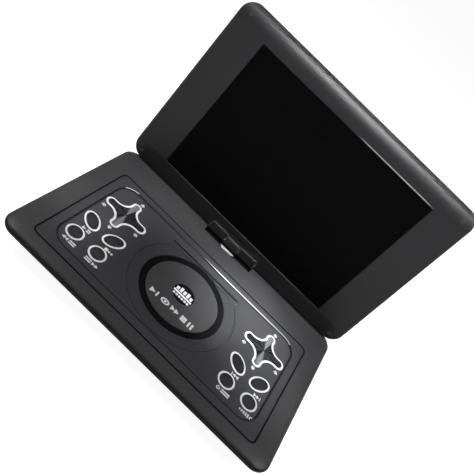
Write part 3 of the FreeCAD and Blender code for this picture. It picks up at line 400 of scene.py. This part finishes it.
def cover_plastic():
    color = (0.03, 0.03, 0.032)
    return moulded("cover_plastic", color, 0.44, 0.5, 0.003, level=0.2, crevice_shade_mm=5.0)


def door_plastic():
    look = panel_plastic()
    look.material.name = "door_plastic"
    return painted_groove_shade(look)


def key_plastic():
    return polished("key_plastic", (0.025, 0.025, 0.027), 0.2)


def pad_metal(name, side):
    """Spun metal with a painted highlight: one bright fan on each side of the centre, running front to
    back.
    """
    look = Look(name, (0.02, 0.02, 0.022), 0.26)
    low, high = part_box(f"{side}_star_pad")
    flat = look.from_centre((low.x + high.x) / 2 / MM, (low.y + high.y) / 2 / MM)
    unit = look.node("ShaderNodeVectorMath", operation="NORMALIZE")
    look.link(flat, unit.inputs[0])
    along = look.node("ShaderNodeVectorMath", operation="DOT_PRODUCT")
    look.link(unit.outputs["Vector"], along.inputs[0])
    along.inputs[1].default_value = (sin(HIGHLIGHT_FAN_TURN), -cos(HIGHLIGHT_FAN_TURN), 0.0)
    fan = look.node("ShaderNodeMath", operation="ABSOLUTE")
    look.link(along.outputs["Value"], fan.inputs[0])
    # painted highlight: a bright band in the base colour along the fan's line
    ramp = look.node("ShaderNodeValToRGB")
    look.link(fan.outputs[0], ramp.inputs["Fac"])
    ramp.color_ramp.elements[0].position = 0.955
    ramp.color_ramp.elements[0].color = (0.016, 0.016, 0.018, 1.0)
    ramp.color_ramp.elements[1].position = 0.99
    ramp.color_ramp.elements[1].color = (0.22, 0.22, 0.23, 1.0)
    look.link(ramp.outputs["Color"], look.shader.inputs["Base Color"])
    streaks = look.node("ShaderNodeTexNoise")
    look.link(unit.outputs["Vector"], streaks.inputs["Vector"])
    streaks.inputs["Scale"].default_value = 14.0
    look.mix_color(look.spread(streaks.outputs["Fac"], 0.55, 1.0), (0.012, 0.012, 0.013))
    look.vary_roughness(streaks.outputs["Fac"], 0.22, 0.34)
    look.round_edges(0.3)
    return look.bump(look.noise(0.4, 2.0), 0.003)


def left_pad_metal():
    return pad_metal("left_pad_metal", "left")


def right_pad_metal():
    return pad_metal("right_pad_metal", "right")


def ring_white():
    look = Look("ring_white", (0.8, 0.8, 0.8), 0.4)
    look.vary_color(look.noise(3.0, 3.0), (0.74, 0.74, 0.75), (0.84, 0.84, 0.84))
    look.vary_roughness(look.noise(1.0), 0.35, 0.5)
    look.round_edges(0.15)
    return look.bump(look.noise(0.3), 0.006)


def trim_silver():
    look = Look("trim_silver", (0.84, 0.84, 0.86), 0.3)
    # painted highlight: the silver turns grey along X away from its brightest point
    fade = look.node("ShaderNodeMapRange")
    look.link(look.axis("X"), fade.inputs["Value"])
    fade.inputs["From Min"].default_value = TRIM_GLINT_END_X * MM
    fade.inputs["From Max"].default_value = TRIM_GLINT_PEAK_X * MM
    look.mix_color(fade.outputs["Result"], (0.42, 0.42, 0.43))
    look.vary_roughness(look.noise(2.0, 3.0), 0.26, 0.36)
    look.round_edges(0.2)
    return look.bump(look.noise(0.6, 2.0), 0.001)


def lcd_glass():
    look = Look("lcd_glass", (0.0012, 0.0011, 0.0012), 0.28)
    look.set("Specular IOR Level", 0.02)
    look.vary_roughness(look.noise(60.0, 1.0), 0.27, 0.3)
    return look.bump(look.noise(25.0, 1.0), 0.002)


def rubber():
    look = Look("rubber", (0.02, 0.02, 0.02), 0.8)
    look.vary_color(look.noise(2.0, 4.0), (0.016, 0.016, 0.016), (0.028, 0.028, 0.027))
    look.round_edges(0.4)
    return look.bump(look.noise(0.3, 4.0), 0.03)


def steel():
    look = Look("steel", (0.5, 0.5, 0.51), 0.3)
    look.set("Metallic", 1.0)
    look.vary_color(look.noise(4.0, 3.0), (0.44, 0.44, 0.45), (0.58, 0.58, 0.58))
    look.vary_roughness(look.noise(0.4, 2.0, (1.0, 0.1, 1.0)), 0.24, 0.42)
    look.round_edges(0.15)
    return look.bump(look.noise(0.3, 2.0, (1.0, 0.08, 1.0)), 0.004)


def black_steel():
    look = Look("black_steel", (0.02, 0.02, 0.021), 0.5)
    look.set("Metallic", 0.8)
    look.vary_color(look.noise(2.0, 3.0), (0.014, 0.014, 0.015), (0.026, 0.026, 0.027))
    look.vary_roughness(look.noise(0.5, 2.0), 0.42, 0.58)
    return look.bump(look.noise(0.3, 2.0), 0.004)


def circuit_board():
    look = Look("circuit_board", (0.02, 0.12, 0.05), 0.4)
    look.vary_color(look.noise(3.0, 1.0, (1.0, 0.2, 1.0)), (0.012, 0.08, 0.035), (0.03, 0.16, 0.07))
    return look.bump(look.cells(1.6), 0.03)


def inner_plastic():
    return moulded("inner_plastic", (0.05, 0.05, 0.053), 0.5, 0.4, 0.012)


def lens_glass():
    look = Look("lens_glass", (0.45, 0.5, 0.72), 0.05)
    look.set("Transmission Weight", 0.6)
    look.vary_roughness(look.noise(1.0), 0.03, 0.07)
    return look


def lamp_white():
    look = Look("lamp_white", (0.75, 0.75, 0.73), 0.6)
    look.vary_color(look.noise(12.0), (0.7, 0.7, 0.68), (0.8, 0.8, 0.78))
    return look.bump(look.noise(0.5), 0.01)


def pack_wrap():
    look = Look("pack_wrap", (0.08, 0.14, 0.28), 0.35)
    look.vary_color(look.noise(15.0, 3.0), (0.07, 0.12, 0.25), (0.1, 0.17, 0.32))
    return look.bump(look.noise(6.0, 4.0), 0.15)


def silicone():
    look = Look("silicone", (0.4, 0.4, 0.4), 0.55)
    look.set("Subsurface Weight", 0.1)
    look.vary_color(look.noise(6.0), (0.36, 0.36, 0.36), (0.45, 0.45, 0.45))
    return look.bump(look.noise(0.4), 0.01)


def print_white():
    """Screen-printed ink, slightly uneven."""
    look = Look("print_white", (0.75, 0.75, 0.76), 0.5)
    look.vary_color(look.noise(0.8, 3.0), (0.6, 0.6, 0.61), (0.82, 0.82, 0.83))
    return look.bump(look.noise(0.2), 0.004)


LOOKS = {
    "case_plastic": case_plastic, "panel_plastic": panel_plastic, "bezel_plastic": bezel_plastic,
    "dome_plastic": dome_plastic, "key_plastic": key_plastic, "pad_metal": left_pad_metal,
    "ring_white": ring_white, "trim_silver": trim_silver, "lcd_glass": lcd_glass, "rubber": rubber,
    "steel": steel, "circuit_board": circuit_board, "inner_plastic": inner_plastic,
    "lens_glass": lens_glass, "lamp_white": lamp_white, "pack_wrap": pack_wrap, "silicone": silicone,
}


def dress_nodes():
    """Gives every CAD node the material of its slot in the record."""
    made = {slot: build().material for slot, build in LOOKS.items()}
    special = {
        "base_bottom_case": lower_case().material,
        "door_emblem": emblem_black().material,
        "hinge_mark": mark_silver().material,
        "disc_door": door_plastic().material,
        "right_star_pad": right_pad_metal().material,
        "base_top_shell": deck_plastic().material,
        "control_panel": control_plastic().material,
        "screen_back_cover": cover_plastic().material,
        "hinge_block": hinge_plastic().material,
        "tilt_shaft": black_steel().material,
    }
    for part in frame["record"]["subparts"]:
        mesh = nodes[part["node"]].data
        mesh.materials.clear()
        mesh.materials.append(special.get(part["node"], made[part["material_slot"]]))


# ---- printed marks ----
def prism_mesh(name, outlines, surface_z, thickness=0.06):
    """One mesh of thin prisms standing on a surface; outlines are lists of (x, y) in millimetres."""
    points = []
    faces = []
    for outline in outlines:
        start = len(points)
        count = len(outline)
        for lift in (-0.05, thickness):
            for x, y in outline:
                points.append((x * MM, y * MM, (surface_z(x, y) + lift) * MM))
        faces.append([start + count + i for i in range(count)])
        for i in range(count):
            j = (i + 1) % count
            faces.append([start + i, start + j, start + count + j, start + count + i])
    mesh = bpy.data.meshes.new(name)
    mesh.from_pydata(points, [], faces)
    mesh.update()
    piece = bpy.data.objects.new(name, mesh)
    bpy.context.collection.objects.link(piece)
    return piece


def bar(x, y, width, height):
    w = width / 2
    h = height / 2
    return [(x - w, y - h), (x + w, y - h), (x + w, y + h), (x - w, y + h)]


def pointer(x, y, width, height, way):
    """Triangle that points along the x axis; way is +1 or -1."""
    w = way * width / 2
    h = height / 2
    corners = [(x - w, y - h), (x + w, y), (x - w, y + h)]
    return corners if way > 0 else corners[::-1]


def disc(x, y, radius, steps=24):
    turn = 2 * pi / steps
    return [(x + radius * cos(turn * i), y + radius * sin(turn * i)) for i in range(steps)]


def ring(x, y, radius, width, steps=24, squeeze=1.0):
    """Ring as a chain of four-sided outlines; squeeze flattens it along y."""
    outlines = []
    inner = radius - width
    for i in range(steps):
        start = 2 * pi * i / steps
        end = 2 * pi * (i + 1) / steps
        outline = []
        for reach, angle in ((inner, start), (radius, start), (radius, end), (inner, end)):
            outline.append((x + reach * cos(angle), y + reach * sin(angle) * squeeze))
        outlines.append(outline)
    return outlines


def turned_outline(outline, x, y, angle):
    c = cos(angle)
    s = sin(angle)
    return [(x + u * c - v * s, y + u * s + v * c) for u, v in outline]


def play(x, y, size):
    return [pointer(x, y, size, size, 1)]


def pause(x, y, size):
    return [bar(x - size * 0.27, y, size * 0.3, size), bar(x + size * 0.27, y, size * 0.3, size)]


def stop(x, y, size):
    return [bar(x, y, size * 0.9, size * 0.9)]


def wind(x, y, size, way):
    """Two arrowheads, one behind the other."""
    offset = size * 0.42
    width = size * 0.85
    return [pointer(x - offset, y, width, size, way), pointer(x + offset, y, width, size, way)]


def skip(x, y, size, way):
    return wind(x, y, size, way) + [bar(x + way * size * 1.0, y, size * 0.2, size)]


def dots(x, y, count, pitch, radius):
    first = x - pitch * (count - 1) / 2
    return [disc(first + pitch * i, y, radius, 12) for i in range(count)]


def rule(x, y, width):
    """Two bars, one over the other, as long as the width."""
    return [bar(x, y + 1.5, width, 1.9), bar(x, y - 1.5, width, 1.9)]


def key_label(index, x, y):
    """Row of plain signs: about 10 mm long behind an oval key, 18 mm in front of a round one."""
    size = 4.9
    steps = [bar(x - 8.0 + i * 2.8, y, 1.8, 2.2 + 0.7 * i) for i in range(5)]
    signs = (
        play(x - 3.2, y, size) + rule(x + 2.8, y, 4.8),
        stop(x - 3.0, y, size) + dots(x + 2.9, y, 2, 3.6, 1.4),
        wind(x - 5.0, y, size, -1) + rule(x + 4.8, y, 8.6),
        wind(x + 5.0, y, size, 1) + rule(x - 4.8, y, 8.6),
        skip(x + 0.6, y, size, -1),
        skip(x - 0.6, y, size, 1),
        ring(x - 6.6, y, 2.5, 1.3, 16) + rule(x + 3.0, y, 11.4),
        steps + ring(x + 7.6, y, 2.5, 1.3, 16),
    )
    return signs[index]


def key_labels():
    outlines = []
    index = 0
    for side in ("left", "right"):
        for kind, shift, drop in (("oval", 4.8, 16.4), ("round", 3.6, 14.9)):
            for end in "ab":
                low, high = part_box(f"{side}_{kind}_key_{end}")
                x = (low.x + high.x) / 2 / MM
                y = (low.y + high.y) / 2 / MM
                outlines += key_label(index, x + shift, y - drop)
                index += 1
    return prism_mesh("key_labels", outlines, lambda x, y: PLATE_Z)


def pad_marks():
    """Small arrowheads round each four-way pad."""
    outlines = []
    for side in ("left", "right"):
        low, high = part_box(f"{side}_star_pad")
        x = (low.x + high.x) / 2 / MM
        y = (low.y + high.y) / 2 / MM
        head = pointer(1.4, 0, 3.4, 6.0, 1)
        tail = bar(-1.4, 0, 1.4, 4.0)
        for dx, dy, angle in ((2.0, 33.6, 90), (0.0, -33.4, -90), (-25.0, -13.0, 205), (25.0, -13.0, -25)):
            outlines.append(turned_outline(head, x + dx, y + dy, radians(angle)))
            outlines.append(turned_outline(tail, x + dx, y + dy, radians(angle)))
    return prism_mesh("pad_marks", outlines, lambda x, y: PLATE_Z)


def dome_z(x, y):
    """Height of the door's dome, a shallow ball that falls away from the disc's centre."""
    ball = (DOME_RADIUS ** 2 + DOME_RISE ** 2) / (2 * DOME_RISE)
    away = (x - DISC_X) ** 2 + (y - DISC_Y) ** 2
    return DOME_TOP - ball + sqrt(ball * ball - away)


def door_icons():
    """Row of five plain signs in front of the emblem."""
    y = DISC_Y - 27.4
    outlines = []
    outlines += play(-27.0, y, 7.4) + [bar(-21.0, y, 2.2, 7.4)]
    outlines += ring(-9.4, y, 5.8, 2.2, 24, 0.68) + [disc(-9.4, y, 1.8, 12)]
    outlines += wind(5.2, y, 6.8, 1)
    outlines += stop(18.2, y, 8.4)
    outlines += pause(28.4, y, 8.0)
    return prism_mesh("door_icons", outlines, dome_z)


def door_badge():
    """Plain mark on the emblem: a row of level bars over a rule and a row of dots."""
    x = DISC_X
    y = DISC_Y - 1.2
    heights = (5.0, 7.5, 6.2, 7.5, 5.0)
    outlines = []
    for i, height in enumerate(heights):
        outlines.append(bar(x - 9.8 + i * 4.9, y + 0.8 + height / 2, 3.6, height))
    outlines.append(bar(x, y - 1.8, 26.0, 2.8))
    outlines += dots(x, y - 6.2, 6, 4.0, 1.7)
    return prism_mesh("door_badge", outlines, badge_z)


def badge_z(x, y):
    """The badge is wider than the emblem, so its ends lie on the dome around it."""
    return max(EMBLEM_Z, dome_z(x, y))


def add_marks():
    ink = print_white().material
    marks = (
        (key_labels(), "base"),
        (pad_marks(), "base"),
        (door_icons(), "door"),
        (door_badge(), "door"),
    )
    for piece, body in marks:
        piece.data.materials.append(ink)
        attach(piece, body)


# ---- stage ----
def make_floor():
    mesh = bpy.data.meshes.new("floor")
    reach = FLOOR_REACH
    corners = [(-reach, -reach, 0), (reach, -reach, 0), (reach, reach, 0), (-reach, reach, 0)]
    mesh.from_pydata(corners, [], [(0, 1, 2, 3)])
    floor = bpy.data.objects.new("floor", mesh)
    bpy.context.collection.objects.link(floor)
    look = Look("floor_pale", (FLOOR_GRAY, FLOOR_GRAY, FLOOR_GRAY), 0.9)
    look.set("Specular IOR Level", 0.0)
    look.set("Emission Color", (1.0, 1.0, 1.0, 1.0))
    look.set("Emission Strength", FLOOR_GLOW)
    mesh.materials.append(look.material)


def area_light(name, place, aim, size, power, spread_degrees=180):
    data = bpy.data.lights.new(name, "AREA")
    data.shape = "RECTANGLE"
    data.size = size[0]
    data.size_y = size[1]
    data.energy = power
    data.spread = radians(spread_degrees)
    light = bpy.data.objects.new(name, data)
    light.location = place
    light.rotation_euler = (Vector(aim) - Vector(place)).to_track_quat("-Z", "Y").to_euler()
    bpy.context.collection.objects.link(light)


def make_sky():
    """Pale just above the horizon and dim higher up."""
    world = bpy.data.worlds.new("studio")
    bpy.context.scene.world = world
    world.use_nodes = True
    tree = world.node_tree
    background = tree.nodes["Background"]
    background.inputs["Color"].default_value = (1.0, 1.0, 1.0, 1.0)
    direction = tree.nodes.new("ShaderNodeTexCoord")
    upward = tree.nodes.new("ShaderNodeSeparateXYZ")
    fade = tree.nodes.new("ShaderNodeMapRange")
    fade.interpolation_type = "SMOOTHSTEP"
    fade.inputs["From Min"].default_value = 0.0
    fade.inputs["From Max"].default_value = SKY_START
    fade.inputs["To Min"].default_value = HORIZON_GLOW
    fade.inputs["To Max"].default_value = SKY_GLOW
    tree.links.new(direction.outputs["Generated"], upward.inputs[0])
    tree.links.new(upward.outputs["Z"], fade.inputs["Value"])
    tree.links.new(fade.outputs["Result"], background.inputs["Strength"])


def beam_down(name, x, y, size, power, spread_degrees):
    """Narrow light straight down on the deck."""
    area_light(name, (x, y, BEAM_HEIGHT), (x, y, 0.0), size, power, spread_degrees)


def make_lights():
    """Two large soft boxes and a weak one behind, then narrow beams that place the highlights."""
    area_light("right_box", (1.0, 0.0, 1.0), (0, 0, 0), (0.8, 0.8), 10.0)
    area_light("left_box", (-1.0, 0.0, 1.0), (0, 0, 0), (0.8, 0.8), 10.0)
    area_light("back_box", (0, 1.0, 1.2), (0, 0, 0.1), (1.2, 0.5), 0.6)
    beam_down("door_beam", 0.06, 0.008, (0.08, 0.05), 0.09, 10)
    beam_down("left_deck_beam", -0.158, -0.035, (0.06, 0.06), 0.03, 10)
    beam_down("right_deck_beam", 0.158, -0.035, (0.06, 0.06), 0.03, 10)
    area_light("hinge_beam", (0.0, 0.11, 1.2), (0.0, 0.055, 0.03), (0.3, 0.02), 0.06, 8)
    area_light("edge_beam", (0.05, -0.62, 1.19), (0.05, 0.14, 0.262), (0.5, 0.3), 0.75, 12)


def make_camera():
    data = bpy.data.cameras.new("camera")
    data.sensor_width = SENSOR_WIDTH
    data.lens = LENS_LENGTH
    camera = bpy.data.objects.new("camera", data)
    heading = Matrix.Rotation(CAMERA_TURN, 4, "Z")
    tilt = Matrix.Rotation(radians(90) - CAMERA_DOWN, 4, "X")
    roll = Matrix.Rotation(CAMERA_ROLL, 4, "Z")
    camera.matrix_world = Matrix.Translation(CAMERA_PLACE) @ heading @ tilt @ roll
    bpy.context.collection.objects.link(camera)
    bpy.context.scene.camera = camera


dress_nodes()
add_marks()
make_floor()
make_sky()
make_lights()
make_camera()
bpy.context.scene.view_settings.view_transform = "Standard"
